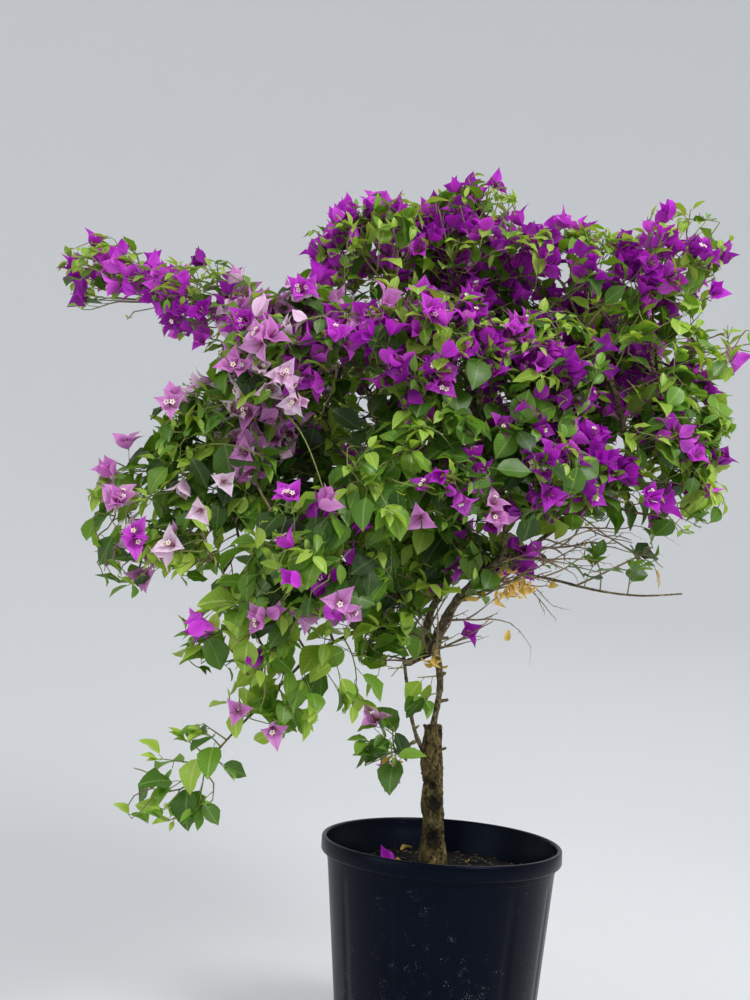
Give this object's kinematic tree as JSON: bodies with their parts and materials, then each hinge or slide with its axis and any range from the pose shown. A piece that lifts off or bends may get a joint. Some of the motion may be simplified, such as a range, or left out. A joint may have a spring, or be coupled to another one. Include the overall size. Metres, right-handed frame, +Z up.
{
  "type": "bougainvillea bush",
  "caption": "Flowering shrub with a cut-back trunk, thin limbs and a wide, left-leaning crown of leaves and papery bracts, standing in a round plastic nursery pot.",
  "frame": {"origin": "centre of the pot's flat underside", "axes": "+Z up, front of the plant looks along -Y, the weeping side of the crown is towards -X"},
  "size_m": [0.9334, 0.5096, 1.1653],
  "materials": {
    "pot_plastic": "satin",
    "potting_mix": "matte",
    "old_bark": "matte",
    "young_bark": "matte",
    "leaves": "satin",
    "bracts": "matte",
    "flowers": "matte",
    "dead_leaves": "matte"
  },
  "bodies": {
    "root": {"pot": "pot_plastic", "soil": "potting_mix", "trunk": "old_bark", "leader": "old_bark", "left_stem": "old_bark", "low_limb": "old_bark", "left_bough": "old_bark", "right_bough": "old_bark", "bare_side_limb": "old_bark", "long_bare_twig": "old_bark", "right_low_limb": "old_bark", "weeping_limb": "young_bark", "weeping_twig": "young_bark", "low_side_twig": "young_bark", "crown_top": "bracts", "crown_top_left": "bracts", "crown_top_right": "bracts", "right_crest": "bracts", "crown_core": "leaves", "heart": "bracts", "front_bloom": "bracts", "left_bloom": "bracts", "right_shoulder": "bracts", "right_mid": "leaves", "right_low": "leaves", "arm_root": "bracts", "arm_tip": "bracts", "left_mid": "leaves", "left_fringe": "bracts", "left_shelf": "leaves", "front_low": "leaves", "right_front_low": "leaves", "front_skirt": "leaves", "left_inner": "leaves", "low_heart": "leaves", "stem_leaves": "leaves", "weeping_top": "leaves", "weeping_foot": "leaves", "weeping_tip": "leaves", "low_sprig": "leaves", "dry_spray": "leaves", "right_sprig": "leaves", "right_tip": "leaves", "back_top": "bracts", "back_right": "bracts", "back_left": "bracts", "back_middle": "leaves", "back_low_right": "leaves", "back_low_left": "leaves", "back_foot": "leaves"}
  },
  "joints": []
}
